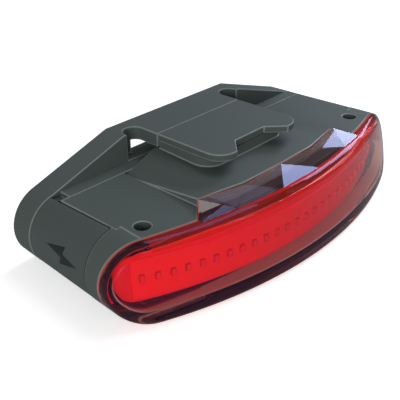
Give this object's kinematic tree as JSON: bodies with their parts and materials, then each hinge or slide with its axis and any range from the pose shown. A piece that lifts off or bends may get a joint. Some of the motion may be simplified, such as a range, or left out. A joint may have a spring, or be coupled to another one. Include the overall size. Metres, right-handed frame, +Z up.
{
  "type": "bicycle rear light",
  "caption": "Wide bicycle rear light with a wrap-around red lens, a clip bridge on top, a charge port under a hinged end cover and a push button in the other end.",
  "frame": {"origin": "middle of the underside's bounding box, on the flat face the light rests on", "axes": "+X to the right seen from behind the bicycle, along the width; -Y out of the lens; +Z up towards the clip plate"},
  "size_m": [0.0888, 0.043, 0.0213],
  "materials": {
    "shell_plastic": "fine moulded grain",
    "cover_rubber": "matte",
    "seal_rubber": "matte",
    "red_lens": "polished clear red",
    "strip_red": "satin",
    "tray_red": "satin",
    "chip_red": "satin",
    "dark_plastic": "matte",
    "ribbon_film": "satin",
    "board_green": "satin",
    "screw_steel": "plated",
    "battery_foil": "satin foil",
    "pad_foam": "foam",
    "lead_red": "satin",
    "plunger_white": "matte",
    "mark_black": "matte"
  },
  "bodies": {
    "light_body": {"front_shell": "shell_plastic", "rear_tub": "shell_plastic", "rear_bridge": "shell_plastic", "tub_seal": "seal_rubber", "lens": "red_lens", "lens_seal": "seal_rubber", "light_tray": "tray_red", "light_strip": "strip_red", "light_chips": "chip_red", "light_ribbon": "ribbon_film", "circuit_board": "board_green", "board_chips": "dark_plastic", "board_screws": "screw_steel", "charge_socket": "screw_steel", "battery": "battery_foil", "battery_pad": "pad_foam", "battery_leads": "lead_red", "top_screws": "screw_steel", "back_screws": "screw_steel", "switch_body": "dark_plastic", "button_cover": "cover_rubber"},
    "charge_flap": {"charge_cover": "cover_rubber", "charge_mark": "mark_black"},
    "button": {"power_button": "cover_rubber", "switch_plunger": "plunger_white"}
  },
  "joints": [
    {"name": "charge_cover_hinge", "type": "hinge", "parent": "light_body", "child": "charge_flap", "pos_m": [-0.03963, 0, 0.002], "axis": [-0.0558, -0.9984, 0], "range_deg": [0, 95]},
    {"name": "button_press", "type": "slide", "parent": "light_body", "child": "button", "axis": [-1, 0, 0], "range_m": [0, 0.0008], "stiffness_N_per_m": 2500}
  ]
}
